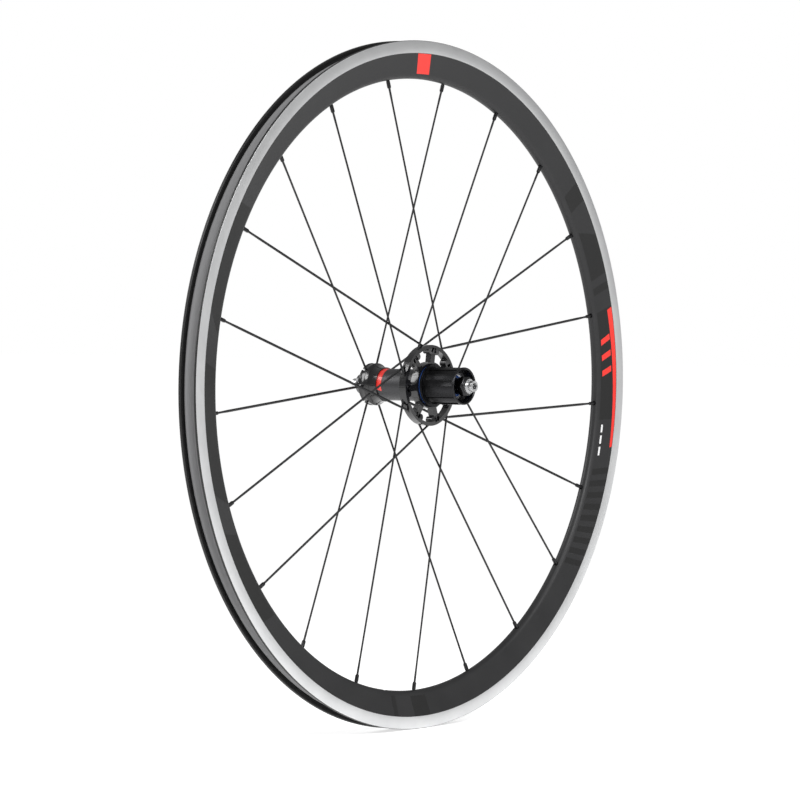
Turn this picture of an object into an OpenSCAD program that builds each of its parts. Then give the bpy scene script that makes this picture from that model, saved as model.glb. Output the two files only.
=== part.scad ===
// Rear bicycle wheel for rim brakes: 21 bladed spokes laced to a hub with a hollow axle,
// a three-pawl freehub and four cartridge bearings.
// World axes: Y is the axle, -Y is the drive side, +Z is up, and the origin is the wheel's centre.
// Inside on_axle() the third axis is the distance from the rim's middle plane to the drive side.

/* [Rim] */
// Diameter over the outer edges of the rim
rim_outer_d = 634; // [560:1:680]
// Depth from the outer edge to the spoke bed
rim_depth = 35; // [33:0.5:50]
// Width over the two brake tracks
rim_width = 20.5; // [20:0.5:24]
// Height of each brake track
track_height = 11.5; // [10:0.5:12]
// Diameter of the tyre's bead seat
bead_seat_d = 622; // [548:1:668]
// Diameter of the valve hole
valve_hole_d = 6.5; // [6:0.1:8.5]
// Direction of the valve hole
valve_angle = 261; // [258:0.5:264]

/* [Spokes] */
// Number of spokes, three for each drive flange arm
spoke_count = 21; // [21:21]
// Direction of the first nipple
first_nipple_angle = 98.16; // [90:0.01:106]
// Diameter of a spoke's round ends
spoke_d = 2; // [1.8:0.1:2.2]
// Width of a spoke's blade
blade_width = 2.4; // [2:0.1:3]
// Thickness of a spoke's blade
blade_thickness = 1.2; // [0.9:0.1:1.4]
// Diameter of a nipple's shank
nipple_d = 3.6; // [3.2:0.1:3.8]
// Radius of the circle that the drive spokes are tangent to
drive_tangent_r = 31; // [30.5:0.1:31.5]
// Distance of each drive spoke layer from the layers' middle plane
drive_stagger = 1.2; // [1:0.1:1.3]

/* [Hub] */
// Clamping width between the frame's dropouts
over_locknut = 130; // [130:130]
// Diameter of the axle tips that sit in the dropouts
axle_tip_d = 10; // [9:0.1:11]
// Length of each axle tip
axle_tip_length = 5.5; // [4:0.5:6]
// Diameter of the hole for the quick-release skewer
skewer_bore_d = 5.2; // [5:0.1:6]
// Outer diameter of the hub's middle tube
tube_d = 29.4; // [29:0.1:31]
// Diameter of the left flange
left_flange_d = 39.2; // [38:0.1:42]
// Outer diameter of the drive flange ring
drive_flange_d = 74.6; // [74:0.1:78]

/* [Freehub] */
// Diameter over the cassette splines
spline_d = 34.4; // [34:0.1:35]
// Depth of the cassette splines
spline_depth = 1.4; // [1:0.1:1.6]
// Bore of the lockring's threaded mouth
mouth_d = 30.6; // [30:0.1:31]
// Number of ratchet teeth
ratchet_teeth = 24; // [24:24]

/* [Hidden] */
$fn = 96;

rim_r = rim_outer_d / 2;
bed_r = rim_r - rim_depth;
half_width = rim_width / 2;
track_r = rim_r - track_height;
bead_r = bead_seat_d / 2;
nose_radius = 5.5;
nose_r = bed_r + nose_radius;
well_r = bead_r - 5;
floor_r = bed_r + 3;
seat_r = floor_r + 2.6;
seat_offset = 0.25;
hole_clearance = 0.35;
nipple_head_r = 3;
nipple_length = 13;

nipple_pitch = 360 / spoke_count;
arm_count = spoke_count / 3;
head_r = 2;
head_thickness = 1.8;
head_clearance = 0.2;

flange_in = 12.2;
flange_out = 19.6;
drive_spoke_offset = 16.1;
drive_head_start = 9.6;
ring_wall = 3.6;
arm_width = 6;
collar_r = 21.6;
collar_end = 20.5;
left_spoke_offset = -47.4;
left_head_r = 14.8;
left_out = -51;
left_in = -33;

locknut_face = over_locknut / 2;
axle_r = 6;
axle_core_r = 7.5;
spacer_r = 7.5;
bearing_r = 12;
bearing_width = 6;
bearing_ball_r = 1.6;
bearing_pitch_r = 9;
bearing_balls = 11;
race_gap = 1.1;
groove_clearance = 0.08;
left_bearing = -50;
drive_bearing = 1;
inner_freehub_bearing = 23;
outer_freehub_bearing = 42;
tube_start = -43.5;
tube_end = 11;
left_nut_width = 5;
drive_nut_start = 57;
drive_nut_end = 62.5;

spline_r = spline_d / 2;
spline_count = 9;
spline_start = 23.7;
spline_end = 57.1;
freehub_end = 59.1;
sleeve_start = 11.5;
sleeve_r = 13.2;
base_start = 21.5;
ratchet_root_r = 16.6;
ratchet_tip_r = 15;
ratchet_r = 18.6;
ratchet_end = 19.5;
pawl_pivot_r = 11;
pawl_start = 12;
pawl_length = 7;
pawl_count = 3;
pawl_nose_angle = 24;
pawl_nose_r = 15.65;
pawl_heel_r = 13.8;
pawl_fold = 14;
tooth_gap_angle = 4.4;
spring_offset = 15.5;
spring_r = 12.9;
spring_wire_r = 0.35;

// Each bearing: its name and where its inboard face lies.
BEARINGS = [
    ["left_hub", left_bearing],
    ["drive_hub", drive_bearing],
    ["inner_freehub", inner_freehub_bearing],
    ["outer_freehub", outer_freehub_bearing]
];

function two_digits(i) = str(i < 10 ? "0" : "", i);
function spoke_name(i) = str("spoke_", two_digits(i));
function pawl_name(i) = str("pawl_", i);
function bearing_node(b, piece) = str(BEARINGS[b][0], "_bearing_", piece);

// ---- helpers ----

function polar(r, a) = [r * cos(a), r * sin(a)];
function nipple_angle(i) = first_nipple_angle + (i - 1) * nipple_pitch;
function arm_angle(k) = nipple_angle(3 * k);
function is_left(i) = i % 3 == 0;
function swing(i) = i % 3 == 1 ? 1 : -1;

// The point at distance t along drive spoke i's line, counted from where it is tangent.
function tangent_angle(i) = nipple_angle(i) - swing(i) * acos(drive_tangent_r / seat_r);
function on_drive_line(i, t) =
    polar(drive_tangent_r, tangent_angle(i)) + polar(t * swing(i), tangent_angle(i) + 90);

function point_3d(p, offset) = [p[0], p[1], offset];
function spoke_root(i) = is_left(i)
    ? point_3d(polar(left_head_r, nipple_angle(i)), left_spoke_offset)
    : point_3d(on_drive_line(i, drive_head_start), drive_spoke_offset - swing(i) * drive_stagger);
function spoke_seat(i) = point_3d(polar(seat_r, nipple_angle(i)), seat_offset);
function spoke_length(i) = norm(spoke_seat(i) - spoke_root(i));

// Turns the local third axis onto the axle, pointing to the drive side.
module on_axle() {
    rotate([90, 0, 0]) children();
}

// Local third axis runs from a spoke's head to its nipple seat, local second axis stays in
// the wheel's plane.
module on_spoke(i) {
    d = spoke_seat(i) - spoke_root(i);
    on_axle()
    translate(spoke_root(i))
    rotate([0, acos(d[2] / norm(d)), atan2(d[1], d[0])])
    children();
}

module turned(outline) {
    on_axle() rotate_extrude() polygon(outline);
}

module ring(inner_r, outer_r, from, to) {
    turned([[inner_r, from], [outer_r, from], [outer_r, to], [inner_r, to]]);
}

module radial_hole(angle, r, from_r, to_r) {
    on_axle()
    rotate([0, 90, angle])
    translate([0, 0, from_r])
    cylinder(h = to_r - from_r, r = r);
}

// ---- rim ----

// Half of the tyre bed, from the well's middle to the bead seat.
bed = [[well_r, 0], [well_r, 3], [bead_r - 1.5, 5.2], [bead_r, 6.4]];
function mirrored(points) = [for (p = points) [p[0], -p[1]]];
function reversed(points) = [for (k = [len(points) - 1 : -1 : 0]) points[k]];
function both_sides(points) = concat(points, reversed(mirrored(points)));

module rim_outline() {
    side = concat(bed, [
        [bead_r, half_width - 1.4],
        [rim_r - 3, half_width - 1.4],
        [rim_r - 2.4, half_width - 2.75],
        [rim_r - 0.6, half_width - 2.75],
        [rim_r, half_width - 2.2],
        [rim_r, half_width - 0.5],
        [rim_r - 0.5, half_width],
        [track_r, half_width],
        [nose_r - 1.33, nose_radius - 0.17]
    ]);
    polygon(both_sides(side));
    translate([nose_r, 0]) circle(nose_radius);
}

module rim_cavity() {
    polygon(both_sides([
        [floor_r, 0],
        [floor_r, 3],
        [nose_r, nose_radius - 1.3],
        [track_r - 1.5, half_width - 1.85],
        [track_r + 1.7, half_width - 1.65],
        [track_r + 1.9, half_width - 4.05],
        [well_r - 1.8, 3.6],
        [well_r - 1.8, 0]
    ]));
}

module rim() {
    color([0.16, 0.16, 0.17])
    difference() {
        on_axle() rotate_extrude($fn = 180) difference() {
            rim_outline();
            rim_cavity();
        }
        for (i = [1 : spoke_count]) {
            radial_hole(nipple_angle(i), 4, well_r - 4, bead_r + 2);
            on_spoke(i)
            translate([0, 0, spoke_length(i) - 10])
            cylinder(h = 9.5, r = nipple_d / 2 + hole_clearance);
        }
        radial_hole(valve_angle, valve_hole_d / 2, bed_r - 2, bead_r + 2);
    }
}

module rim_tape() {
    thickness = 0.5;
    lower = concat(bed, [[bead_r, 7.6]]);
    upper = [for (p = lower) p + [thickness, 0]];
    color([0.45, 0.45, 0.46])
    difference() {
        on_axle() rotate_extrude($fn = 180)
        polygon(concat(reversed(mirrored(lower)), lower, reversed(upper), mirrored(upper)));
        radial_hole(valve_angle, valve_hole_d / 2, bed_r, bead_r + 4);
    }
}

// ---- spokes and nipples ----

module blade_section() {
    edge = 0.35;
    bulge = blade_thickness / 2 - edge;
    face_r = (pow(blade_width / 2, 2) + pow(bulge, 2)) / (2 * bulge);
    intersection() {
        square([blade_thickness, blade_width], center = true);
        translate([blade_thickness / 2 - face_r, 0]) circle(face_r);
        translate([face_r - blade_thickness / 2, 0]) circle(face_r);
    }
}

module spoke(i) {
    length = spoke_length(i);
    root = is_left(i) ? 14 : 22;
    thread = 22;
    color([0.09, 0.09, 0.1])
    on_spoke(i) {
        cylinder(h = head_thickness, r = head_r, $fn = 32);
        cylinder(h = root, r = spoke_d / 2, $fn = 32);
        translate([0, 0, root])
        linear_extrude(length - root - thread) blade_section();
        translate([0, 0, length - thread])
        cylinder(h = thread + 1, r = spoke_d / 2, $fn = 32);
    }
}

module nipple(i) {
    on_spoke(i)
    translate([0, 0, spoke_length(i)])
    difference() {
        union() {
            translate([0, 0, -nipple_length]) cylinder(h = nipple_length, r = nipple_d / 2, $fn = 32);
            intersection() {
                sphere(nipple_head_r, $fn = 32);
                translate([0, 0, -3]) cylinder(h = 4.8, r = 4, $fn = 32);
            }
        }
        translate([0, 0, -nipple_length - 1])
        cylinder(h = nipple_length + 4, r = spoke_d / 2 + 0.05, $fn = 32);
    }
}

module nipples_drive() {
    color([0.07, 0.07, 0.08])
    for (i = [1 : spoke_count]) if (!is_left(i)) nipple(i);
}

module nipples_left() {
    color([0.07, 0.07, 0.08])
    for (i = [1 : spoke_count]) if (is_left(i)) nipple(i);
}

// ---- hub shell ----

module left_flange() {
    r = left_flange_d / 2;
    cover_r = bearing_r + 1;
    color([0.1, 0.1, 0.11])
    difference() {
        turned([
            [tube_d / 2, left_in],
            [tube_d / 2 + 1.2, left_in],
            [tube_d / 2 + 1.5, left_in - 5],
            [tube_d / 2 + 2.8, left_in - 9],
            [r, left_in - 10.8],
            [r, left_in - 12.2],
            [r - 0.6, left_in - 12.6],
            [r - 0.6, left_out + 1.8],
            [r, left_out + 1.4],
            [r, left_out + 0.4],
            [r - 0.4, left_out],
            [cover_r, left_out],
            [cover_r, left_bearing],
            [bearing_r, left_bearing],
            [bearing_r, left_bearing + bearing_width],
            [bearing_r - 1.5, left_bearing + bearing_width],
            [bearing_r - 1.5, tube_start],
            [tube_d / 2, tube_start]
        ]);
        for (k = [1 : arm_count]) left_spoke_slot(3 * k);
    }
}

// The slot that a left spoke's head drops into from outside.
module left_spoke_slot(i) {
    shank_w = spoke_d + 0.5;
    head_w = 2 * (head_r + head_clearance);
    depth = left_spoke_offset - left_out + 1;
    reach = left_flange_d / 2;
    on_spoke(i) {
        translate([0, 0, -head_clearance])
        cylinder(h = head_thickness + 2 * head_clearance, r = head_w / 2, $fn = 32);
        cylinder(h = reach, r = shank_w / 2, $fn = 32);
        translate([0, -shank_w / 2, 0]) cube([depth, shank_w, reach]);
        translate([0, -head_w / 2, -head_clearance])
        cube([depth, head_w, head_thickness + 2 * head_clearance]);
    }
}

module hub_tube() {
    r = tube_d / 2;
    color([0.2, 0.2, 0.21])
    turned([
        [r, tube_start],
        [r, tube_end],
        [bearing_r, tube_end],
        [bearing_r, drive_bearing],
        [bearing_r - 1, drive_bearing],
        [bearing_r - 1, tube_start]
    ]);
}

module drive_spoke_pocket(i) {
    pocket_r = head_r + head_clearance;
    back = 0.7;
    length = head_thickness + back + head_clearance;
    rise = flange_out - spoke_root(i)[2] + 1;
    on_spoke(i) {
        translate([0, 0, -back]) cylinder(h = length, r = pocket_r, $fn = 32);
        cylinder(h = 24, r = spoke_d / 2 + 0.25, $fn = 32);
        translate([-rise, -pocket_r, -back]) cube([rise, 2 * pocket_r, length]);
    }
}

module drive_flange() {
    r = drive_flange_d / 2;
    inner_r = r - ring_wall;
    color([0.08, 0.08, 0.09])
    difference() {
        union() {
            turned([
                [tube_d / 2, tube_end - 2],
                [tube_d / 2 + 0.9, tube_end - 2],
                [tube_d / 2 + 1.2, tube_end - 0.8],
                [collar_r, flange_in + 0.8],
                [collar_r, collar_end],
                [ratchet_r, collar_end],
                [ratchet_r, tube_end],
                [tube_d / 2, tube_end]
            ]);
            ring(inner_r, r, flange_in, flange_out);
            for (k = [1 : arm_count]) drive_arm(arm_angle(k));
        }
        for (i = [1 : spoke_count]) if (!is_left(i)) drive_spoke_pocket(i);
    }
}

// One arm from the collar to the ring, with a lobe each side for the spoke heads. The arm, its
// broad end and its lobes step down from the ring's faces.
module drive_arm(angle) {
    lobe_r = 3.2;
    ring_r = drive_flange_d / 2 - ring_wall;
    on_axle()
    rotate([0, 0, angle]) {
        stepped(0.6)
        translate([collar_r - 1, -arm_width / 2])
        square([ring_r - collar_r + 2, arm_width]);
        stepped(0.4)
        translate([ring_r - lobe_r - 1, -arm_width])
        square([lobe_r + 2.5, 2 * arm_width]);
        for (side = [-1, 1])
        stepped(0.2)
        translate([ring_r - 1.8, side * 4.7])
        circle(lobe_r, $fn = 48);
    }
}

module stepped(step) {
    translate([0, 0, flange_in + step])
    linear_extrude(flange_out - flange_in - 2 * step)
    children();
}

// Saw teeth: each has a steep face and a long ramp.
function ratchet_outline() = [
    for (k = [0 : ratchet_teeth - 1])
    let (a = -pawl_nose_angle - tooth_gap_angle + k * 360 / ratchet_teeth)
    for (p = [[ratchet_tip_r, 0], [ratchet_root_r, 0.6], [ratchet_tip_r, 14.2]])
    polar(p[0], a + p[1])
];

module ratchet_ring() {
    color([0.55, 0.55, 0.56])
    on_axle()
    translate([0, 0, tube_end])
    linear_extrude(ratchet_end - tube_end)
    difference() {
        circle(ratchet_r);
        polygon(ratchet_outline());
    }
}

// ---- bearings ----

module ball_track() {
    translate([bearing_pitch_r, bearing_width / 2])
    circle(bearing_ball_r + groove_clearance, $fn = 48);
}

module race(b, inner_r, outer_r) {
    color([0.7, 0.71, 0.73])
    on_axle()
    translate([0, 0, BEARINGS[b][1]])
    rotate_extrude()
    difference() {
        translate([inner_r, 0]) square([outer_r - inner_r, bearing_width]);
        ball_track();
    }
}

module bearing_outer(b) {
    race(b, bearing_pitch_r + race_gap, bearing_r);
}

module bearing_inner(b) {
    race(b, axle_r, bearing_pitch_r - race_gap);
}

module each_ball() {
    for (k = [1 : bearing_balls])
    rotate([0, 0, k * 360 / bearing_balls])
    translate([bearing_pitch_r, 0, 0])
    children();
}

module bearing_balls(b) {
    cage_half_wall = 0.7;
    cage_width = 4.4;
    color([0.85, 0.85, 0.86])
    on_axle()
    translate([0, 0, BEARINGS[b][1] + bearing_width / 2]) {
        each_ball() sphere(bearing_ball_r, $fn = 24);
        difference() {
            translate([0, 0, -cage_width / 2])
            rotate_extrude()
            translate([bearing_pitch_r - cage_half_wall, 0])
            square([2 * cage_half_wall, cage_width]);
            each_ball()
            rotate([0, 90, 0])
            cylinder(h = 4, r = bearing_ball_r + 0.15, center = true, $fn = 24);
        }
    }
}

// The two seals of a bearing, one each side, held by its outer race.
module seal_pair(b) {
    inner_r = bearing_pitch_r - race_gap + 0.05;
    outer_r = bearing_pitch_r + race_gap;
    thickness = 0.4;
    for (from = [0.1, bearing_width - 0.1 - thickness])
    ring(inner_r, outer_r, BEARINGS[b][1] + from, BEARINGS[b][1] + from + thickness);
}

module hub_bearing_seals() {
    color([0.1, 0.3, 0.7]) {
        seal_pair(0);
        seal_pair(1);
    }
}

module freehub_bearing_seals() {
    color([0.1, 0.3, 0.7]) {
        seal_pair(2);
        seal_pair(3);
    }
}

// ---- axle and what is fixed to it ----

module axle() {
    tip_r = axle_tip_d / 2;
    tip_end = locknut_face + axle_tip_length;
    socket_af = 5.6;
    color([0.8, 0.8, 0.82])
    difference() {
        turned([
            [skewer_bore_d / 2, -tip_end],
            [tip_r, -tip_end],
            [tip_r, -locknut_face],
            [axle_r, -locknut_face],
            [axle_r, left_bearing + bearing_width],
            [axle_core_r, left_bearing + bearing_width],
            [axle_core_r, drive_bearing],
            [axle_r, drive_bearing],
            [axle_r, locknut_face],
            [tip_r, locknut_face],
            [tip_r, tip_end],
            [skewer_bore_d / 2, tip_end]
        ]);
        on_axle()
        translate([0, 0, locknut_face])
        cylinder(h = axle_tip_length + 1, r = socket_af / 2 / cos(30), $fn = 6);
    }
}

module left_locknut() {
    start = -locknut_face;
    color([0.35, 0.35, 0.36])
    turned([
        [axle_r, start],
        [axle_r + 0.6, start],
        [9.4, start + 2.6],
        [9.4, start + left_nut_width],
        [axle_r, start + left_nut_width]
    ]);
}

module left_spacer() {
    color([0.75, 0.75, 0.76])
    ring(axle_r, bearing_pitch_r - race_gap - 0.2, -locknut_face + left_nut_width, left_bearing);
}

module left_dust_cover() {
    color([0.06, 0.06, 0.07])
    ring(bearing_pitch_r - 0.9, bearing_r + 1, left_out, left_bearing - 0.05);
}

module hub_spacer() {
    color([0.6, 0.6, 0.61])
    ring(axle_r, spacer_r, drive_bearing + bearing_width, inner_freehub_bearing);
}

module freehub_spacer() {
    color([0.6, 0.6, 0.61])
    ring(axle_r, spacer_r, inner_freehub_bearing + bearing_width, outer_freehub_bearing);
}

module drive_spacer() {
    color([0.2, 0.2, 0.21])
    ring(axle_r, spacer_r, outer_freehub_bearing + bearing_width, drive_nut_start);
}

module drive_locknut() {
    across_flats = 17;
    color([0.15, 0.15, 0.16])
    difference() {
        intersection() {
            on_axle()
            translate([0, 0, drive_nut_start])
            cylinder(h = drive_nut_end - drive_nut_start, r = across_flats / 2 / cos(30), $fn = 6);
            turned([
                [0, drive_nut_start],
                [9.5, drive_nut_start],
                [9.5, drive_nut_end - 1.2],
                [8, drive_nut_end],
                [0, drive_nut_end]
            ]);
        }
        ring(0, axle_r, drive_nut_start - 1, drive_nut_end + 1);
    }
}

module drive_end_collar() {
    collar_points = 12;
    color([0.78, 0.78, 0.8])
    on_axle()
    translate([0, 0, drive_nut_end])
    difference() {
        cylinder(h = locknut_face - drive_nut_end, r = 6.9, $fn = collar_points);
        translate([0, 0, -1]) cylinder(h = 5, r = axle_r);
    }
}

// ---- freehub ----

module freehub_body() {
    mouth_r = mouth_d / 2;
    mouth_start = freehub_end - 8;
    color([0.12, 0.12, 0.13])
    difference() {
        turned([
            [8.6, sleeve_start],
            [sleeve_r, sleeve_start],
            [sleeve_r, base_start],
            [19.4, base_start],
            [20, base_start + 0.6],
            [19.6, spline_start],
            [spline_r, spline_start],
            [spline_r, freehub_end - 0.5],
            [spline_r - 0.5, freehub_end],
            [mouth_r + 0.7, freehub_end],
            [mouth_r, freehub_end - 0.7],
            [mouth_r, mouth_start],
            [bearing_r + 0.8, mouth_start],
            [bearing_r, mouth_start - 0.8],
            [bearing_r, inner_freehub_bearing],
            [8.6, inner_freehub_bearing]
        ]);
        spline_valleys();
        ring(8, bearing_r + 0.6, outer_freehub_bearing + bearing_width + 0.1,
            outer_freehub_bearing + bearing_width + 1.2);
        ring(sleeve_r - 0.8, sleeve_r + 1, spring_offset - 0.6, spring_offset + 0.6);
        for (k = [1 : pawl_count]) pawl_pocket(k);
    }
}

// Eight even valleys and one wide one, which sets the cassette's position.
module spline_valleys() {
    valley_r = spline_r - spline_depth;
    for (k = [0 : spline_count - 1]) {
        w = k == 0 ? 7.6 : 5.6;
        on_axle()
        rotate([0, 0, 90 + k * 360 / spline_count])
        translate([valley_r, -w / 2, spline_start + 0.4])
        cube([3, w, spline_end - spline_start - 0.4]);
    }
}

module on_pawl_pivot(k) {
    on_axle()
    rotate([0, 0, k * 360 / pawl_count])
    translate([pawl_pivot_r, 0, 0])
    rotate([0, 0, -90])
    children();
}

// Behind and under the pawl the pocket follows it through its whole swing.
module pawl_pocket(k) {
    on_pawl_pivot(k)
    translate([0, 0, sleeve_start - 1])
    linear_extrude(pawl_start + pawl_length + 0.5 - sleeve_start + 1) {
        circle(1.8, $fn = 48);
        polygon([[-1.2, 1.3], [-1.2, 5], [9, 5], [9, 0.65], [0.3, -1.77]]);
    }
}

module freehub_seal() {
    color([0.1, 0.3, 0.7])
    ring(sleeve_r, 19.2, collar_end + 0.3, base_start);
}

module freehub_sleeve() {
    color([0.5, 0.5, 0.51])
    ring(10.6, bearing_r, inner_freehub_bearing + bearing_width, outer_freehub_bearing);
}

module bearing_circlip() {
    start = outer_freehub_bearing + bearing_width + 0.15;
    color([0.3, 0.3, 0.31])
    on_axle()
    translate([0, 0, start])
    linear_extrude(1)
    difference() {
        circle(bearing_r + 0.55);
        circle(bearing_r - 1.1);
        translate([0, -3]) square([20, 6]);
    }
}

// A pawl in its folded place, clear of the teeth. Its outline is drawn as it stands when engaged.
module pawl(k) {
    tip = polar(pawl_nose_r, pawl_nose_angle);
    heel = polar(pawl_heel_r, pawl_nose_angle);
    color([0.6, 0.6, 0.62])
    on_pawl_pivot(k)
    rotate([0, 0, -pawl_fold])
    difference() {
        translate([0, 0, pawl_start])
        union() {
            cylinder(h = pawl_length, r = 1.5, $fn = 48);
            linear_extrude(pawl_length)
            polygon([
                [-0.7, 1.25],
                [tip[1], tip[0] - pawl_pivot_r],
                [heel[1], heel[0] - pawl_pivot_r],
                [0.8, -1.1]
            ]);
        }
        translate([0, -pawl_pivot_r, spring_offset - 0.7])
        linear_extrude(1.4)
        difference() {
            circle(20);
            circle(spring_r - 0.9);
        }
    }
}

module pawl_spring() {
    color([0.75, 0.75, 0.76])
    on_axle()
    translate([0, 0, spring_offset])
    rotate([0, 0, 70])
    rotate_extrude(angle = 350)
    translate([spring_r, 0])
    circle(spring_wire_r, $fn = 24);
}

rim();
rim_tape();
nipples_drive();
nipples_left();
for (i = [1 : spoke_count]) spoke(i);
left_flange();
hub_tube();
drive_flange();
ratchet_ring();
hub_bearing_seals();
axle();
left_locknut();
left_spacer();
left_dust_cover();
hub_spacer();
freehub_spacer();
drive_spacer();
drive_locknut();
drive_end_collar();
freehub_body();
freehub_seal();
freehub_sleeve();
bearing_circlip();
freehub_bearing_seals();
pawl_spring();
for (k = [1 : pawl_count]) pawl(k);
for (b = [0 : 3]) {
    bearing_outer(b);
    bearing_inner(b);
    bearing_balls(b);
}
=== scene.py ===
"""The looks of a rear bicycle wheel, built around its packed design.

World axes: Y is the axle, -Y is the drive side and +Z is up. The wheel's sizes are millimetres,
turned to metres by MM where a mesh is made, and its angles are degrees. The camera, the lights
and the floor are placed in metres.
"""
import math

import bmesh
import bpy
from mathutils import Matrix, Vector


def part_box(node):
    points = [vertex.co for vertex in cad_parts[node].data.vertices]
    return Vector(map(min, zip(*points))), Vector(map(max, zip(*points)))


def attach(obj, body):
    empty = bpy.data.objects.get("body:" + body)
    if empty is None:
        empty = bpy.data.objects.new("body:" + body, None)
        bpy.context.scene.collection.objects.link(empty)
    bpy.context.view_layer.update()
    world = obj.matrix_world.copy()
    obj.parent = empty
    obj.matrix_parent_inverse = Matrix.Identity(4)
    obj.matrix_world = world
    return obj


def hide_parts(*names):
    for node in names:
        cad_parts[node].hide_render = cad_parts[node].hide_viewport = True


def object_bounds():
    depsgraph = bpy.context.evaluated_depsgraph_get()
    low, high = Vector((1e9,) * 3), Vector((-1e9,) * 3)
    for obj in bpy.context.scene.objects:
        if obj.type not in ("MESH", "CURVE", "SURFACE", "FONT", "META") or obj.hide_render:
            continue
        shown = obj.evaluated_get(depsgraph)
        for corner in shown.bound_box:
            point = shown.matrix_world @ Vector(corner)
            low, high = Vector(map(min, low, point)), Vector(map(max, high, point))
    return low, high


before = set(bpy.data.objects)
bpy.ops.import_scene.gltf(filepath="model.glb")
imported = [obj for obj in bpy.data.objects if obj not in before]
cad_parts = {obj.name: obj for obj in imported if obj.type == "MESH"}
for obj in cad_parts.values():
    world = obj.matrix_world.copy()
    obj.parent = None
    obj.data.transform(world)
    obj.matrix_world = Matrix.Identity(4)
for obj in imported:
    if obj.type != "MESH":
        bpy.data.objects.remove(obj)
cad_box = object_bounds()

MM = 0.001

# ---------------------------------------------------------------- sizes of the wheel

low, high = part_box("rim")
RIM_R = round((high.x - low.x) / 2 / MM)
HALF_WIDTH = (high.y - low.y) / 2 / MM
RIM_DEPTH = 35.0
INNER_EDGE_R = RIM_R - RIM_DEPTH
TRACK_R = RIM_R - 11.5              # inner edge of the brake track
STEP_R = TRACK_R - 0.25             # foot of the small step below the track
STEP_HALF_WIDTH = HALF_WIDTH - 0.18
BEAD_R = 311.0                      # where the tyre's bead sits
WELL_R = BEAD_R - 5
CHANNEL_WALL = 1.4
HOOK_WALL = 2.75
NOSE_RADIUS = 5.5
NOSE_R = INNER_EDGE_R + NOSE_RADIUS
NOSE_TOP_ANGLE = 75                 # how far round the nose goes before the straight sidewall
SIDEWALL_START_R = NOSE_R - 1.4
NOSE_WALL = 1.3
SIDE_WALL = 1.85
TRACK_WALL = 1.65
SHOULDER_WALL = 4.05                # beside the tyre channel, where its wall meets the well
WELL_WALL = 1.8
WELL_CAVITY_HALF_WIDTH = 3.6
FLOOR_R = INNER_EDGE_R + 3
TAPE_THICKNESS = 0.5
TAPE_HALF_WIDTH = 7.6

VALVE_ANGLE = 261.0
VALVE_R = 3.25
ACCESS_HOLE_R = 4

SPOKE_COUNT = 21
RIM_STEPS = SPOKE_COUNT * 16
CAVITY_STEPS = SPOKE_COUNT * 8
NIPPLE_PITCH = 360 / SPOKE_COUNT
FIRST_NIPPLE = 98.16
SEAT_R = FLOOR_R + 2.6
SEAT_OFFSET = 0.25
DRIVE_TANGENT_R = 31.0
DRIVE_HEAD_START = 9.6
DRIVE_OFFSET = 16.1
DRIVE_STAGGER = 1.2
LEFT_HEAD_R = 14.8
LEFT_OFFSET = -47.4

SPOKE_R = 1.0
BLADE_HALF = (0.55, 1.2)
HEAD_R = 2.0
HEAD_THICKNESS = 1.8
LEFT_ROOT = 13                      # round length of a spoke before its blade
DRIVE_ROOT = 21
THREADED_END = 20
SWAGE = 9                           # length over which the round spoke turns into the blade
SWAGE_MIDDLE = 4

NIPPLE_R = 1.8
NIPPLE_NECK_R = NIPPLE_R - 0.2
NIPPLE_LENGTH = 13.0
NIPPLE_HOLE_R = NIPPLE_R + 0.35
NIPPLE_HOLE_START = 10              # both measured back from the seat
NIPPLE_HOLE_END = 0.5
KEY_FLAT = 1.55                     # half the distance between the flats for the key

TUBE_R = 14.7

# ---------------------------------------------------------------- camera, light and floor

AZIMUTH = -51.44
ELEVATION = 1.78
DISTANCE = 3.992
AIM_RIGHT = -0.0130
AIM_UP = -0.0138
LENS = 194.6
SENSOR_WIDTH = 36
ROOM_LIGHT = 0.3                    # what the white room gives to all but the camera
FLOOR_HALF_SIZE = 12
FADE_START, FADE_END = 0.6, 2.0     # metres from the wheel over which the floor turns white


def add_object(name, data):
    thing = bpy.data.objects.new(name, data)
    bpy.context.scene.collection.objects.link(thing)
    return thing


def mesh_from(bm, name):
    """Turns the bmesh into a mesh, and frees it."""
    mesh = bpy.data.meshes.new(name)
    bm.to_mesh(mesh)
    bm.free()
    return mesh


def add_camera():
    data = bpy.data.cameras.new("camera")
    data.lens = LENS
    data.sensor_width = SENSOR_WIDTH
    camera = add_object("camera", data)
    turn = Matrix.Rotation(math.radians(AZIMUTH), 4, "Z")
    tilt = Matrix.Rotation(math.radians(90 - ELEVATION), 4, "X")
    camera.matrix_world = turn @ tilt @ Matrix.Translation((AIM_RIGHT, AIM_UP, DISTANCE))
    bpy.context.scene.camera = camera


def add_area_light(name, location, size, power):
    """A rectangular lamp that faces the middle of the wheel."""
    data = bpy.data.lights.new(name, "AREA")
    data.shape = "RECTANGLE"
    data.size, data.size_y = size
    data.energy = power
    light = add_object(name, data)
    light.location = location
    light.rotation_euler = (-Vector(location)).to_track_quat("-Z", "Y").to_euler()


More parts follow.
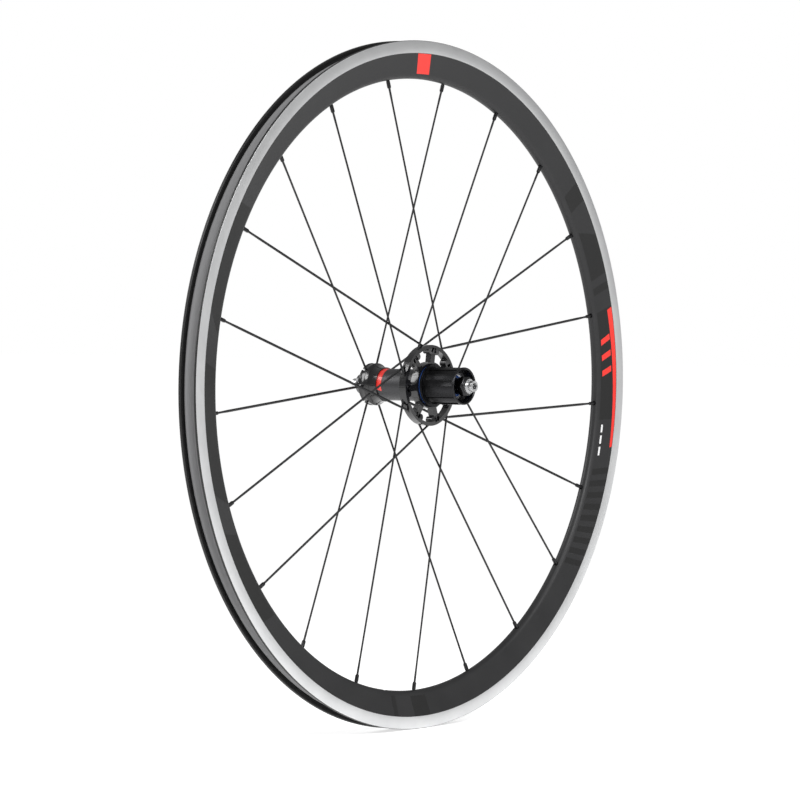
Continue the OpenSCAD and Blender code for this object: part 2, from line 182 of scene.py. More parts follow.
def add_studio():
    scene = bpy.context.scene
    scene.view_settings.view_transform = "Standard"
    world = bpy.data.worlds.new("studio")
    scene.world = world
    world.use_nodes = True
    nodes, links = world.node_tree.nodes, world.node_tree.links
    background = nodes["Background"]
    path = nodes.new("ShaderNodeLightPath")
    strength = nodes.new("ShaderNodeMix")
    strength.data_type = "FLOAT"
    strength.inputs["A"].default_value = ROOM_LIGHT
    strength.inputs["B"].default_value = 1.0
    links.new(path.outputs["Is Camera Ray"], strength.inputs["Factor"])
    links.new(strength.outputs["Result"], background.inputs["Strength"])
    background.inputs["Color"].default_value = (1, 1, 1, 1)
    add_area_light("key", (-2.2, -2.6, 2.4), (1.8, 1.8), 95)
    add_area_light("side", (0.6, -3.9, 2.4), (1.2, 1.8), 48)
    add_area_light("back", (-1.6, 2.6, 1.6), (1.4, 2.0), 45)


def add_floor():
    bm = bmesh.new()
    bmesh.ops.create_grid(bm, x_segments=1, y_segments=1, size=FLOOR_HALF_SIZE)
    bmesh.ops.translate(bm, verts=bm.verts, vec=(0, 0, cad_box[0][2]))
    floor = add_object("floor", mesh_from(bm, "floor"))
    return floor


add_camera()
add_studio()
floor = add_floor()

# ---------------------------------------------------------------- shader node groups

NOISE_SPAN = (0.35, 0.65)           # where most values of a fine noise lie
BROAD_SPAN = (0.3, 0.7)
AROUND_RATE = 1800.0                # how fast the tape's threads repeat round the wheel


def new_group(name, inputs, outputs):
    """An empty node group. inputs and outputs map a socket's name to (type, default)."""
    group = bpy.data.node_groups.new(name, "ShaderNodeTree")
    for direction, sockets in (("INPUT", inputs), ("OUTPUT", outputs)):
        for socket_name, (kind, value) in sockets.items():
            socket = group.interface.new_socket(socket_name, in_out=direction, socket_type=kind)
            if value is not None:
                socket.default_value = value
    return group, group.nodes.new("NodeGroupInput"), group.nodes.new("NodeGroupOutput")


def link(tree, source, target):
    tree.links.new(source, target)


def feed(tree, value, socket):
    """Sets a socket to a number, or links another node's output to it."""
    if isinstance(value, (int, float)):
        socket.default_value = value
    else:
        link(tree, value, socket)


def math_node(tree, operation, *values):
    node = tree.nodes.new("ShaderNodeMath")
    node.operation = operation
    for value, socket in zip(values, node.inputs):
        feed(tree, value, socket)
    return node.outputs[0]


def spread(tree, value, from_low, from_high, to_low, to_high):
    """Maps a value from one range to another."""
    node = tree.nodes.new("ShaderNodeMapRange")
    limits = {"From Min": from_low, "From Max": from_high, "To Min": to_low, "To Max": to_high}
    for name, limit in limits.items():
        feed(tree, limit, node.inputs[name])
    link(tree, value, node.inputs["Value"])
    return node.outputs["Result"]


def object_coordinates(tree):
    return tree.nodes.new("ShaderNodeTexCoord").outputs["Object"]


def mix_colors(tree, factor, near, far):
    """Mixes two colours. A mix node keeps its colour sockets after those of its other types."""
    node = tree.nodes.new("ShaderNodeMix")
    node.data_type = "RGBA"
    first_color, second_color, mixed_color = node.inputs[6], node.inputs[7], node.outputs[2]
    first_color.default_value = near
    second_color.default_value = far
    link(tree, factor, node.inputs["Factor"])
    return mixed_color


def tint(tree, color, shade):
    """A colour made lighter or darker by a factor."""
    node = tree.nodes.new("ShaderNodeVectorMath")
    node.operation = "SCALE"
    link(tree, color, node.inputs[0])
    link(tree, shade, node.inputs["Scale"])
    return node.outputs[0]


def around_middle(tree, middle, reach):
    """The two values that lie as far below and above a middle one."""
    return math_node(tree, "SUBTRACT", middle, reach), math_node(tree, "ADD", middle, reach)


def cylinder_coordinates(tree):
    """Distance from the axle, and height along it, from Object coordinates."""
    split = tree.nodes.new("ShaderNodeSeparateXYZ")
    link(tree, object_coordinates(tree), split.inputs[0])
    x2 = math_node(tree, "MULTIPLY", split.outputs["X"], split.outputs["X"])
    z2 = math_node(tree, "MULTIPLY", split.outputs["Z"], split.outputs["Z"])
    return math_node(tree, "SQRT", math_node(tree, "ADD", x2, z2)), split.outputs["Y"]


def build_surface_grain():
    """Fine mottling: a colour that varies a little, a roughness that varies more, and a height."""
    group, given, result = new_group(
        "surface_grain",
        {"Color": ("NodeSocketColor", (0.1, 0.1, 0.1, 1)), "Shade": ("NodeSocketFloat", 0.1),
         "Roughness": ("NodeSocketFloat", 0.4), "Variation": ("NodeSocketFloat", 0.06),
         "Scale": ("NodeSocketFloat", 900.0)},
        {"Color": ("NodeSocketColor", None), "Roughness": ("NodeSocketFloat", None),
         "Height": ("NodeSocketFloat", None)})
    coordinates = object_coordinates(group)
    fine = group.nodes.new("ShaderNodeTexNoise")
    fine.inputs["Detail"].default_value = 3
    link(group, coordinates, fine.inputs["Vector"])
    link(group, given.outputs["Scale"], fine.inputs["Scale"])
    broad = group.nodes.new("ShaderNodeTexNoise")
    broad.inputs["Scale"].default_value = 28.0
    broad.inputs["Detail"].default_value = 5.0
    broad.inputs["Roughness"].default_value = 0.55
    link(group, coordinates, broad.inputs["Vector"])
    darkest, lightest = around_middle(group, 1.0, given.outputs["Shade"])
    shade = spread(group, broad.outputs["Fac"], *BROAD_SPAN, darkest, lightest)
    link(group, tint(group, given.outputs["Color"], shade), result.inputs["Color"])
    least, most = around_middle(group, given.outputs["Roughness"], given.outputs["Variation"])
    mottled = math_node(group, "ADD", math_node(group, "MULTIPLY", fine.outputs["Fac"], 0.5),
                        math_node(group, "MULTIPLY", broad.outputs["Fac"], 0.5))
    link(group, spread(group, mottled, *NOISE_SPAN, least, most), result.inputs["Roughness"])
    link(group, fine.outputs["Fac"], result.inputs["Height"])
    return group


def build_lathe_lines():
    """Rings left by turning: a value that changes with the distance from and along the axle."""
    group, given, result = new_group(
        "lathe_lines",
        {"Lines": ("NodeSocketFloat", 4000.0), "Roughness": ("NodeSocketFloat", 0.3),
         "Variation": ("NodeSocketFloat", 0.08)},
        {"Height": ("NodeSocketFloat", None), "Roughness": ("NodeSocketFloat", None)})
    radius, along = cylinder_coordinates(group)
    place = math_node(group, "ADD", radius, along)
    line_noise = group.nodes.new("ShaderNodeTexNoise")
    line_noise.noise_dimensions = "1D"
    line_noise.inputs["Detail"].default_value = 3
    link(group, given.outputs["Lines"], line_noise.inputs["Scale"])
    link(group, place, line_noise.inputs["W"])
    link(group, line_noise.outputs["Fac"], result.inputs["Height"])
    least, most = around_middle(group, given.outputs["Roughness"], given.outputs["Variation"])
    roughness = spread(group, line_noise.outputs["Fac"], *NOISE_SPAN, least, most)
    link(group, roughness, result.inputs["Roughness"])
    return group


def build_weave():
    """Crossing threads of a woven tape, along and across the wheel's turn."""
    group, given, result = new_group(
        "tape_weave",
        {"Color": ("NodeSocketColor", (0.2, 0.2, 0.2, 1)), "Threads": ("NodeSocketFloat", 9000.0)},
        {"Color": ("NodeSocketColor", None), "Height": ("NodeSocketFloat", None)})
    split = group.nodes.new("ShaderNodeSeparateXYZ")
    link(group, object_coordinates(group), split.inputs[0])
    turn = math_node(group, "ARCTAN2", split.outputs["Z"], split.outputs["X"])
    around = math_node(group, "SINE", math_node(group, "MULTIPLY", turn, AROUND_RATE))
    width = math_node(group, "MULTIPLY", split.outputs["Y"], given.outputs["Threads"])
    across = math_node(group, "SINE", width)
    woven = math_node(group, "MULTIPLY", around, across)
    shade = spread(group, woven, -1.0, 1.0, 0.82, 1.15)
    link(group, tint(group, given.outputs["Color"], shade), result.inputs["Color"])
    link(group, woven, result.inputs["Height"])
    return group


GRAIN = build_surface_grain()
LATHE = build_lathe_lines()
WEAVE = build_weave()

# ---------------------------------------------------------------- materials


def new_material(name, roughness, metallic=0.0, coat=0.0):
    material = bpy.data.materials.new(name)
    material.use_nodes = True
    tree = material.node_tree
    shader = tree.nodes["Principled BSDF"]
    shader.inputs["Roughness"].default_value = roughness
    shader.inputs["Metallic"].default_value = metallic
    shader.inputs["Coat Weight"].default_value = coat
    shader.inputs["Coat Roughness"].default_value = 0.05
    return material, tree, shader


def place_group(tree, group, **values):
    """A node for the group, with its inputs set by their names in lower case."""
    node = tree.nodes.new("ShaderNodeGroup")
    node.node_tree = group
    for name, value in values.items():
        node.inputs[name.title()].default_value = value
    return node


def add_bump(tree, shader, height, strength, distance_mm):
    bump = tree.nodes.new("ShaderNodeBump")
    bump.inputs["Strength"].default_value = strength
    bump.inputs["Distance"].default_value = distance_mm * MM
    link(tree, height, bump.inputs["Height"])
    link(tree, bump.outputs["Normal"], shader.inputs["Normal"])


def grained(name, color, roughness, variation=0.05, shade=0.08, metallic=0.0, coat=0.0, bump=0.1):
    """A painted, moulded or anodised finish."""
    material, tree, shader = new_material(name, roughness, metallic, coat)
    grain = place_group(tree, GRAIN, color=(*color, 1), shade=shade, roughness=roughness,
                        variation=variation)
    link(tree, grain.outputs["Color"], shader.inputs["Base Color"])
    link(tree, grain.outputs["Roughness"], shader.inputs["Roughness"])
    add_bump(tree, shader, grain.outputs["Height"], bump, 0.05)
    return material


def turned_metal(name, color, roughness, variation=0.07, lines=4000.0, bump=0.25):
    """Metal with the rings of a lathe."""
    material, tree, shader = new_material(name, roughness, metallic=1.0)
    grain = place_group(tree, GRAIN, color=(*color, 1), shade=0.05, roughness=roughness)
    lathe = place_group(tree, LATHE, lines=lines, roughness=roughness, variation=variation)
    link(tree, grain.outputs["Color"], shader.inputs["Base Color"])
    link(tree, lathe.outputs["Roughness"], shader.inputs["Roughness"])
    add_bump(tree, shader, lathe.outputs["Height"], bump, 0.03)
    return material


def woven_tape(name, color):
    """Cloth tape with crossing threads."""
    material, tree, shader = new_material(name, 0.75)
    weave = place_group(tree, WEAVE, color=(*color, 1))
    link(tree, weave.outputs["Color"], shader.inputs["Base Color"])
    add_bump(tree, shader, weave.outputs["Height"], 0.4, 0.08)
    return material


RIM_BLACK = grained("rim_black_anodised", (0.026, 0.026, 0.027), 0.46, 0.06, metallic=0.35, bump=0.12)
BRAKE_TRACK = turned_metal("brake_track_machined", (0.74, 0.745, 0.75), 0.4, lines=5200.0, bump=0.3)
# Painted shade: the walls inside the tyre channel get a darker black than the outside of the rim.
RIM_CHANNEL_SHADE = grained("rim_channel_painted_shade", (0.012, 0.012, 0.012), 0.4, metallic=0.2)
TAPE = woven_tape("rim_tape_weave", (0.26, 0.26, 0.265))
SPOKE_BLACK = grained("spoke_satin_black", (0.012, 0.012, 0.013), 0.42, metallic=0.3)
NIPPLE_BLACK = grained("nipple_black_anodised", (0.012, 0.012, 0.013), 0.3, metallic=0.5)
FLANGE_GLOSS = grained("flange_gloss_black", (0.005, 0.005, 0.006), 0.2, 0.03, coat=0.55, bump=0.02)
TUBE_SATIN = grained("hub_tube_satin_grey", (0.055, 0.055, 0.058), 0.38, metallic=0.55)
HUB_RED = grained("hub_band_red", (0.82, 0.03, 0.02), 0.3, coat=0.5)
FREEHUB_BLACK = turned_metal("freehub_black_anodised", (0.035, 0.035, 0.037), 0.34, bump=0.12)
BARE_ALUMINIUM = turned_metal("bare_aluminium_turned", (0.66, 0.665, 0.67), 0.28)
GREY_ALUMINIUM = turned_metal("grey_aluminium_turned", (0.16, 0.16, 0.165), 0.3)
BLACK_ALUMINIUM = turned_metal("black_aluminium_turned", (0.045, 0.045, 0.047), 0.3)
RATCHET_STEEL = turned_metal("ratchet_steel_ground", (0.42, 0.42, 0.43), 0.28)
BEARING_STEEL = turned_metal("bearing_steel_polished", (0.7, 0.71, 0.72), 0.12, 0.03)
SPRING_STEEL = grained("spring_steel_drawn", (0.5, 0.5, 0.51), 0.25, metallic=1.0)
SEAL_BLUE = grained("seal_blue_rubber", (0.02, 0.09, 0.36), 0.45)
COVER_BLACK = grained("dust_cover_black", (0.012, 0.012, 0.012), 0.4)
DECAL_RED = grained("decal_red", (0.83, 0.03, 0.02), 0.35, shade=0.03)
DECAL_BLACK = grained("decal_gloss_black", (0.002, 0.002, 0.002), 0.5, 0.02)
DECAL_WHITE = grained("decal_white", (0.8, 0.8, 0.8), 0.4, shade=0.02)


def make_floor_material():
    """A pale floor that turns into the white of the backdrop with distance."""
    material = bpy.data.materials.new("floor")
    material.use_nodes = True
    tree = material.node_tree
    shader = tree.nodes["Principled BSDF"]
    shader.inputs["Roughness"].default_value = 0.8
    shader.inputs["Specular IOR Level"].default_value = 0.1
    shader.inputs["Emission Strength"].default_value = 1.0
    length = tree.nodes.new("ShaderNodeVectorMath")
    length.operation = "LENGTH"
    link(tree, object_coordinates(tree), length.inputs[0])
    far = spread(tree, length.outputs["Value"], FADE_START, FADE_END, 0.0, 1.0)
    link(tree, mix_colors(tree, far, (0.8, 0.8, 0.8, 1), (0, 0, 0, 1)), shader.inputs["Base Color"])
    link(tree, mix_colors(tree, far, (0.62, 0.62, 0.62, 1), (1, 1, 1, 1)), shader.inputs["Emission Color"])
    return material


floor.data.materials.append(make_floor_material())

# ---------------------------------------------------------------- making pieces


def finish_mesh(bm, name, materials, body, node=None, smooth_angle=35):
    """Turns the bmesh into a piece that rides on a body and, if node is given, stands for it."""
    mesh = mesh_from(bm, name)
    for material in materials:
        mesh.materials.append(material)
    mesh.shade_smooth()
    mesh.set_sharp_from_angle(angle=math.radians(smooth_angle))
    piece = add_object(name, mesh)
    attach(piece, body)
    if node:
        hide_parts(node)
    return piece


def polar(radius, degrees):
    """A point in the wheel's plane, in metres."""
    a = math.radians(degrees)
    return Vector((radius * MM * math.cos(a), 0, radius * MM * math.sin(a)))


def at(radius, degrees, side):
    """A point from its distance from the axle, its direction and its distance to the drive side."""
    return polar(radius, degrees) + Vector((0, -side * MM, 0))


def rounded_profile(bm, outline, rounding, segments=2):
    """A closed outline in the XY half plane from (radius, side) points, its corners rounded."""
    verts = [bm.verts.new((r * MM, -s * MM, 0)) for r, s in outline]
    bm.faces.new(verts)
    bmesh.ops.bevel(bm, geom=bm.verts[:], affect="VERTICES", offset=rounding * MM,
                    segments=segments, profile=0.5, material=-1)
    bmesh.ops.delete(bm, geom=bm.faces[:], context="FACES_ONLY")


def spin_profile(bm, steps):
    """Turns a profile once round the axle, into a closed skin."""
    bmesh.ops.spin(bm, geom=bm.verts[:] + bm.edges[:], cent=(0, 0, 0), axis=(0, 1, 0),
                   angle=math.tau, steps=steps, use_merge=True)
    bmesh.ops.remove_doubles(bm, verts=bm.verts[:], dist=1e-7)
    bmesh.ops.recalc_face_normals(bm, faces=bm.faces[:])


def both_sides(half):
    """A whole outline from its drive-side half, which starts and may end on the middle plane."""
    return half + [(r, -s) for r, s in reversed(half) if s != 0]


def bake_modifiers(piece):
    depsgraph = bpy.context.evaluated_depsgraph_get()
    mesh = bpy.data.meshes.new_from_object(piece.evaluated_get(depsgraph))
    piece.modifiers.clear()
    piece.data = mesh


def cut_away(piece, bm, material):
    """Cuts the bmesh's solids out of a piece."""
    drills = add_object("drills", mesh_from(bm, "drills"))
    drills.data.materials.append(material)
    cut = piece.modifiers.new("holes", "BOOLEAN")
    cut.operation = "DIFFERENCE"
    cut.solver = "EXACT"
    cut.object = drills
    bake_modifiers(piece)
    bpy.data.objects.remove(drills)


def add_mesh(bm, extra):
    """Adds one bmesh to another, and frees it."""
    mesh = mesh_from(extra, "extra")
    bm.from_mesh(mesh)
    bpy.data.meshes.remove(mesh)


def add_rod(bm, start, end, radius, segments):
    along = end - start
    place = Matrix.Translation((start + end) / 2) @ along.to_track_quat("Z", "Y").to_matrix().to_4x4()
    bmesh.ops.create_cone(bm, cap_ends=True, segments=segments, radius1=radius * MM,
                          radius2=radius * MM, depth=along.length, matrix=place)


# ---------------------------------------------------------------- rim

TYRE_BED = [(WELL_R, 0), (WELL_R, 3), (BEAD_R - 1.5, 5.2), (BEAD_R, 6.4)]


def rim_outline():
    nose = []
    for degrees in range(NOSE_TOP_ANGLE, -1, -15):
        a = math.radians(degrees)
        nose.append((NOSE_R - NOSE_RADIUS * math.cos(a), NOSE_RADIUS * math.sin(a)))
    half = TYRE_BED + [
        (BEAD_R, HALF_WIDTH - CHANNEL_WALL),
        (RIM_R - 3, HALF_WIDTH - CHANNEL_WALL),
        (RIM_R - 2.4, HALF_WIDTH - HOOK_WALL),
        (RIM_R - 0.6, HALF_WIDTH - HOOK_WALL),
        (RIM_R, HALF_WIDTH - 2.2),
        (RIM_R, HALF_WIDTH - 0.5),
        (RIM_R - 0.5, HALF_WIDTH),
        (TRACK_R, HALF_WIDTH),
        (STEP_R, STEP_HALF_WIDTH),
    ] + nose
    return both_sides(half)


def rim_cavity():
    return both_sides([
        (FLOOR_R, 0), (FLOOR_R, 3), (NOSE_R, NOSE_RADIUS - NOSE_WALL),
        (TRACK_R - 1.5, HALF_WIDTH - SIDE_WALL), (TRACK_R + 1.7, HALF_WIDTH - TRACK_WALL),
        (TRACK_R + 1.9, HALF_WIDTH - SHOULDER_WALL),
        (WELL_R - WELL_WALL, WELL_CAVITY_HALF_WIDTH), (WELL_R - WELL_WALL, 0),
    ])


def paint_rim(bm):
    """Bare metal on the brake tracks, and painted shade: a darker colour on the walls inside the tyre
    channel.
    """
    track, channel = 1, 2
    for face in bm.faces:
        c = face.calc_center_median()
        r = math.hypot(c.x, c.z) / MM
        side = abs(c.y) / MM
        if side > HALF_WIDTH - 0.12 and r > TRACK_R:
            face.material_index = track
        elif r > TRACK_R and side < HALF_WIDTH - 0.6:
            face.material_index = channel


def make_rim():
    bm = bmesh.new()
    rounded_profile(bm, rim_outline(), 0.12)
    spin_profile(bm, RIM_STEPS)
    paint_rim(bm)
    cavity = bmesh.new()
    rounded_profile(cavity, rim_cavity(), 0.1, 1)
    spin_profile(cavity, CAVITY_STEPS)
    bmesh.ops.reverse_faces(cavity, faces=cavity.faces[:])
    add_mesh(bm, cavity)
    rim_materials = [RIM_BLACK, BRAKE_TRACK, RIM_CHANNEL_SHADE]
    rim = finish_mesh(bm, "rim_extrusion", rim_materials, "wheel", "rim", 30)
    drill_rim(rim)


def drill_rim(rim):
    """Cuts the nipple holes, their access holes and the valve hole."""
    bm = bmesh.new()
    for i in range(1, SPOKE_COUNT + 1):
        start, end = spoke_root(i), spoke_seat(i)
        along = (end - start).normalized()
        hole_start = end - along * NIPPLE_HOLE_START * MM
        hole_end = end - along * NIPPLE_HOLE_END * MM
        add_rod(bm, hole_start, hole_end, NIPPLE_HOLE_R, 20)
        angle = nipple_angle(i)
        add_rod(bm, at(WELL_R - 4, angle, 0), at(BEAD_R + 2, angle, 0), ACCESS_HOLE_R, 24)
    add_rod(bm, at(INNER_EDGE_R - 2, VALVE_ANGLE, 0), at(BEAD_R + 2, VALVE_ANGLE, 0), VALVE_R, 32)
    cut_away(rim, bm, RIM_BLACK)


def make_tape():
    lower = TYRE_BED + [(BEAD_R, TAPE_HALF_WIDTH)]
    upper = [(r + TAPE_THICKNESS, s) for r, s in lower]
    outline = [(r, -s) for r, s in reversed(lower[1:])] + lower
    outline += list(reversed(upper)) + [(r, -s) for r, s in upper[1:]]
    bm = bmesh.new()
    rounded_profile(bm, outline, 0.1, 1)
    spin_profile(bm, RIM_STEPS)
    tape = finish_mesh(bm, "rim_tape_band", [TAPE], "wheel", "rim_tape")
    bm = bmesh.new()
    add_rod(bm, at(INNER_EDGE_R, VALVE_ANGLE, 0), at(BEAD_R + 4, VALVE_ANGLE, 0), VALVE_R, 32)
    cut_away(tape, bm, TAPE)


# ---------------------------------------------------------------- lacing


def nipple_angle(i):
    """Direction of nipple i, in degrees. Nipples and spokes are counted from 1."""
    return FIRST_NIPPLE + (i - 1) * NIPPLE_PITCH


def is_left(i):
    return i % 3 == 0


def swing(i):
    """Which way a drive-side spoke leaves its head: the two of a pair cross."""
    return 1 if i % 3 == 1 else -1


def spoke_root(i):
    if is_left(i):
        return at(LEFT_HEAD_R, nipple_angle(i), LEFT_OFFSET)
    tangent = nipple_angle(i) - swing(i) * math.degrees(math.acos(DRIVE_TANGENT_R / SEAT_R))
    foot = polar(DRIVE_TANGENT_R, tangent) + polar(DRIVE_HEAD_START * swing(i), tangent + 90)
    return foot + Vector((0, -(DRIVE_OFFSET - swing(i) * DRIVE_STAGGER) * MM, 0))


def spoke_seat(i):
    return at(SEAT_R, nipple_angle(i), SEAT_OFFSET)


def spoke_place(i):
    """Puts a mesh made along +Z onto spoke i, with its X turned to the axle's direction."""
    start, end = spoke_root(i), spoke_seat(i)
    along = (end - start).normalized()
    flat = along.cross(Vector((0, 1, 0))).normalized()
    thin = flat.cross(along)
    turn = Matrix((thin, flat, along)).transposed().to_4x4()
    return Matrix.Translation(start) @ turn


def loft_stations(bm, stations, segments=16):
    """A closed round bar through stations of (distance, half size across X, half size across Y)."""
    distance, half_x, half_y = stations[0]
    made = bmesh.ops.create_circle(bm, cap_ends=True, segments=segments, radius=1.0)
    ring = made["verts"]
    bmesh.ops.scale(bm, vec=(half_x * MM, half_y * MM, 1), verts=ring)
    bmesh.ops.translate(bm, vec=(0, 0, distance * MM), verts=ring)
    faces = list({f for v in ring for f in v.link_faces})
    for (d0, x0, y0), (d1, x1, y1) in zip(stations, stations[1:]):
        made = bmesh.ops.extrude_face_region(bm, geom=faces)
        ring = [g for g in made["geom"] if isinstance(g, bmesh.types.BMVert)]
        if d0 > distance:   # the near end keeps its face, and the ones between would lie inside
            bmesh.ops.delete(bm, geom=faces, context="FACES_ONLY")
        faces = [g for g in made["geom"] if isinstance(g, bmesh.types.BMFace)]
        bmesh.ops.scale(bm, vec=(x1 / x0, y1 / y0, 1), verts=ring)
        bmesh.ops.translate(bm, vec=(0, 0, (d1 - d0) * MM), verts=ring)
    bmesh.ops.recalc_face_normals(bm, faces=bm.faces[:])


def make_spoke(i):
    length = (spoke_seat(i) - spoke_root(i)).length / MM
    root = LEFT_ROOT if is_left(i) else DRIVE_ROOT
    thread = length - THREADED_END
    blade_x, blade_y = BLADE_HALF
    between_x, between_y = (SPOKE_R + blade_x) / 2, (SPOKE_R + blade_y) / 2
    stations = [
        (0, HEAD_R - 0.25, HEAD_R - 0.25),
        (0.25, HEAD_R, HEAD_R),
        (HEAD_THICKNESS - 0.5, HEAD_R, HEAD_R),
        (HEAD_THICKNESS, SPOKE_R + 0.15, SPOKE_R + 0.15),
        (HEAD_THICKNESS + 0.4, SPOKE_R, SPOKE_R),
        (root, SPOKE_R, SPOKE_R),
        (root + SWAGE_MIDDLE, between_x, between_y),
        (root + SWAGE, blade_x, blade_y),
        (thread - SWAGE, blade_x, blade_y),
        (thread - SWAGE_MIDDLE, between_x, between_y),
        (thread, SPOKE_R, SPOKE_R),
        (length + 0.8, SPOKE_R, SPOKE_R),
        (length + 1, SPOKE_R - 0.2, SPOKE_R - 0.2),
    ]
    bm = bmesh.new()
    loft_stations(bm, stations)
    bmesh.ops.transform(bm, matrix=spoke_place(i), verts=bm.verts[:])
    node = f"spoke_{i:02d}"
    finish_mesh(bm, f"bladed_{node}", [SPOKE_BLACK], "wheel", node, 50)


def add_nipple(bm, i):
    """Flats for the key below, a round shank above them and a domed head on the seat."""
    length = (spoke_seat(i) - spoke_root(i)).length / MM
    tip = -NIPPLE_LENGTH
    widths = [
        (tip, 1.25), (tip + 0.5, 1.62), (tip + 1.2, NIPPLE_R),
        (tip + 6.3, NIPPLE_R), (tip + 6.8, NIPPLE_NECK_R),
        (-2.8, NIPPLE_NECK_R), (-2.2, 2.0), (-1.2, 2.7), (0, 3),
        (1.2, 2.7), (1.8, 2.2),
    ]
    nipple = bmesh.new()
    loft_stations(nipple, [(distance, r, r) for distance, r in widths], 24)
    for v in nipple.verts:
        if tip + 1 < v.co.z / MM < tip + 6.5:
            v.co.x = max(-KEY_FLAT * MM, min(KEY_FLAT * MM, v.co.x))
            v.co.y = max(-KEY_FLAT * MM, min(KEY_FLAT * MM, v.co.y))
    bmesh.ops.translate(nipple, vec=(0, 0, length * MM), verts=nipple.verts[:])
    bmesh.ops.transform(nipple, matrix=spoke_place(i), verts=nipple.verts[:])
    add_mesh(bm, nipple)


def make_nipples(name, chosen, node):
    bm = bmesh.new()
    for i in chosen:
        add_nipple(bm, i)
    finish_mesh(bm, name, [NIPPLE_BLACK], "wheel", node)


make_rim()
make_tape()
spokes = range(1, SPOKE_COUNT + 1)
for i in spokes:
    make_spoke(i)
make_nipples("nipple_set_drive", [i for i in spokes if not is_left(i)], "nipples_drive")
make_nipples("nipple_set_left", [i for i in spokes if is_left(i)], "nipples_left")

# ---------------------------------------------------------------- rim markings


INNER, OUTER = 286.6, 305.0
PROUD, OVERLAID = 0.06, 0.11        # how far a patch, and one on top of another, stands out
SUNK = 0.05                         # how far a patch goes into the wall
BEND_STEP = 1.0                     # degrees between the cuts that let a patch follow the rim


def rim_side(r):
    """Half width of the rim's side at a radius, on the straight sidewall."""
    start = NOSE_RADIUS * math.sin(math.radians(NOSE_TOP_ANGLE))
    share = (r - SIDEWALL_START_R) / (STEP_R - SIDEWALL_START_R)
    return start + share * (STEP_HALF_WIDTH - start)


def make_marking(name, corners, material, side, height):
    """A thin patch on the sidewall, from (angle, radius) corners. side is 1 or, on the left, -1."""
    bm = bmesh.new()
    verts = [bm.verts.new((a, r, 0)) for a, r in corners]
    bm.faces.new(verts)
    angles = [a for a, r in corners]
    cut = math.ceil(min(angles) / BEND_STEP) * BEND_STEP
    while cut < max(angles):
        bmesh.ops.bisect_plane(bm, geom=bm.verts[:] + bm.edges[:] + bm.faces[:], dist=1e-6,
                               plane_co=(cut, 0, 0), plane_no=(1, 0, 0))
        cut += BEND_STEP
    bmesh.ops.triangulate(bm, faces=bm.faces[:])
    made = bmesh.ops.extrude_face_region(bm, geom=bm.faces[:])
    for g in made["geom"]:
        if isinstance(g, bmesh.types.BMVert):
            g.co.z = 1
    for v in bm.verts:
        a, r, top = v.co
        v.co = at(r, a, side * (rim_side(r) + (height if top > 0.5 else -SUNK)))
    bmesh.ops.recalc_face_normals(bm, faces=bm.faces[:])
    finish_mesh(bm, name, [material], "wheel", None)


def slanted(a0, a1, r0, r1, slant):
    """A four-cornered patch whose ends lean by slant degrees from its inner to its outer edge."""
    return [(a0, r0), (a1, r0), (a1 + slant, r1), (a0 + slant, r1)]


# Each: a name, its (angle, radius) corners, its finish and how far it stands out.
MARKINGS = [
    ("red_patch", slanted(87.0, 90.6, INNER, OUTER, 0.6), DECAL_RED, PROUD),
    ("upper_bar", slanted(34.1, 37.9, INNER, OUTER, 0.6), DECAL_BLACK, PROUD),
    ("upper_wedge", [(19.3, INNER), (29.6, INNER), (27.4, OUTER), (19.9, OUTER)], DECAL_BLACK, PROUD),
    ("upper_wedge_bar", slanted(16.3, 17.7, INNER, OUTER, 0.6), DECAL_BLACK, PROUD),
    ("middle_block", slanted(-8.0, 12.9, INNER, OUTER, 0.6), DECAL_BLACK, PROUD),
    ("red_stroke", [(-12.8, 302.5), (12.9, 299.5), (13.3, OUTER), (-12.6, OUTER)], DECAL_RED, OVERLAID),
    ("white_bar_1", slanted(-10.4, -8.9, 289.5, 291.5, 0.1), DECAL_WHITE, PROUD),
    ("white_bar_2", slanted(-12.6, -11.0, 289.5, 291.5, 0.1), DECAL_WHITE, PROUD),
    ("white_bar_3", slanted(-14.9, -13.2, 289.5, 291.5, 0.1), DECAL_WHITE, PROUD),
    ("left_wedge_1", [(146, INNER), (170, INNER), (166, OUTER), (147, OUTER)], DECAL_BLACK, PROUD),
    ("left_wedge_2", [(176, INNER), (200, INNER), (197, OUTER), (175, OUTER)], DECAL_BLACK, PROUD),
    ("left_wedge_3", [(206, INNER), (224, INNER), (222, OUTER), (204, OUTER)], DECAL_BLACK, PROUD),
    ("bottom_bar_1", slanted(261.8, 262.9, INNER, OUTER, 0.5), DECAL_BLACK, PROUD),
    ("bottom_bar_2", slanted(267.5, 271.8, INNER, OUTER, 0.5), DECAL_BLACK, PROUD),
]
RED_BARS, RED_BAR_START, RED_BAR_PITCH, RED_BAR_WIDTH = 3, 6.4, 3.0, 1.1
HATCH_BARS, HATCH_START, HATCH_PITCH, HATCH_WIDTH = 9, -19.0, 2.35, 1.2


def make_markings(side, suffix):
    """All the marks of one side of the rim."""
    for label, corners, material, height in MARKINGS:
        make_marking(f"marking_{label}_{suffix}", corners, material, side, height)
    for k in range(RED_BARS):
        start = RED_BAR_START - RED_BAR_PITCH * k
        corners = slanted(start, start + RED_BAR_WIDTH, INNER + 1.5, 299.0, 1.0)
        make_marking(f"marking_red_bar_{k + 1}_{suffix}", corners, DECAL_RED, side, OVERLAID)
    for k in range(HATCH_BARS):
        start = HATCH_START - HATCH_PITCH * k
        corners = slanted(start, start + HATCH_WIDTH, INNER, OUTER, 1.4)
        make_marking(f"marking_hatch_{k + 1}_{suffix}", corners, DECAL_BLACK, side, PROUD)


make_markings(1, "drive")
make_markings(-1, "left")

# ---------------------------------------------------------------- hub pieces

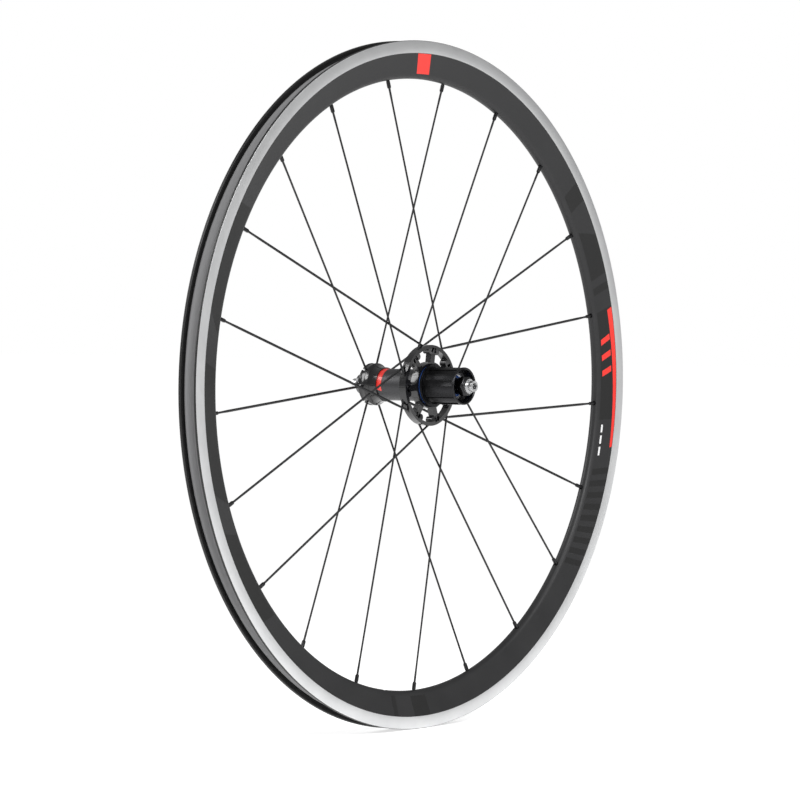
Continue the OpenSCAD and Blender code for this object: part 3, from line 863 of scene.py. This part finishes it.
CAD_FINISH = {
    "axle": BARE_ALUMINIUM,
    "left_locknut": GREY_ALUMINIUM,
    "left_spacer": BARE_ALUMINIUM,
    "left_dust_cover": COVER_BLACK,
    "left_flange": FLANGE_GLOSS,
    "hub_tube": TUBE_SATIN,
    "hub_spacer": BARE_ALUMINIUM,
    "hub_bearing_seals": SEAL_BLUE,
    "drive_flange": FLANGE_GLOSS,
    "ratchet_ring": RATCHET_STEEL,
    "pawl_spring": SPRING_STEEL,
    "freehub_seal": SEAL_BLUE,
    "freehub_body": FREEHUB_BLACK,
    "freehub_sleeve": BARE_ALUMINIUM,
    "freehub_spacer": BARE_ALUMINIUM,
    "freehub_bearing_seals": SEAL_BLUE,
    "bearing_circlip": SPRING_STEEL,
    "drive_spacer": BLACK_ALUMINIUM,
    "drive_locknut": BLACK_ALUMINIUM,
    "drive_end_collar": BARE_ALUMINIUM,
}
BAND_SIDES = (-33, -27.5)           # its left and right edge, towards the drive side
BAND_ENDS = (62, 197)               # in degrees
BAND_LEAN = 6
BAND_SUNK, BAND_PROUD = 0.1, 0.08
BAND_STEPS = 45
ROUNDED_EDGE_ANGLE = 40
ROUNDED = [
    ("left_locknut", "axle", 0.25),
    ("drive_locknut", "axle", 0.25),
    ("drive_end_collar", "axle", 0.15),
    ("freehub_body", "freehub", 0.2),
    ("left_flange", "wheel", 0.3),
    ("drive_flange", "wheel", 0.3),
]


def node_finish(node):
    """What a CAD node is made of, or None where a piece stands for it."""
    if node.startswith("pawl_") and node != "pawl_spring":
        return RATCHET_STEEL
    if "_bearing_" in node and "seals" not in node:
        return BEARING_STEEL
    return CAD_FINISH.get(node)


def finish_cad_nodes():
    for name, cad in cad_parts.items():
        finish = node_finish(name)
        if finish:
            cad.data.materials.clear()
            cad.data.materials.append(finish)


def make_hub_band():
    """The painted band on the hub tube: an arc with slanted ends."""
    bm = bmesh.new()
    left, right = BAND_SIDES
    first, last = BAND_ENDS
    inside, outside = TUBE_R - BAND_SUNK, TUBE_R + BAND_PROUD
    section = [(inside, left, 0), (outside, left, 0), (outside, right, BAND_LEAN), (inside, right, BAND_LEAN)]
    rings = []
    for k in range(BAND_STEPS + 1):
        angle = first + (last - first) * k / BAND_STEPS
        rings.append([bm.verts.new(at(r, angle + lean, side)) for r, side, lean in section])
    for a, b in zip(rings, rings[1:]):
        for k in range(4):
            bm.faces.new((a[k], a[(k + 1) % 4], b[(k + 1) % 4], b[k]))
    bm.faces.new(rings[0])
    bm.faces.new(reversed(rings[-1]))
    bmesh.ops.recalc_face_normals(bm, faces=bm.faces[:])
    finish_mesh(bm, "hub_band", [HUB_RED], "wheel", None)


def soften(node, body, width):
    """A copy of a CAD node with its sharp edges rounded, in its place."""
    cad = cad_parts[node]
    bm = bmesh.new()
    bm.from_mesh(cad.data)
    bm.transform(cad.matrix_world)
    bmesh.ops.remove_doubles(bm, verts=bm.verts[:], dist=2e-6)
    bmesh.ops.dissolve_limit(bm, angle_limit=math.radians(1), verts=bm.verts[:], edges=bm.edges[:])
    piece = finish_mesh(bm, f"{node}_softened", [CAD_FINISH[node]], body, node, ROUNDED_EDGE_ANGLE)
    rounding = piece.modifiers.new("rounding", "BEVEL")
    rounding.limit_method = "ANGLE"
    rounding.angle_limit = math.radians(ROUNDED_EDGE_ANGLE)
    rounding.width = width * MM
    rounding.segments = 2
    bake_modifiers(piece)


finish_cad_nodes()
make_hub_band()
for node, body, width in ROUNDED:
    soften(node, body, width)
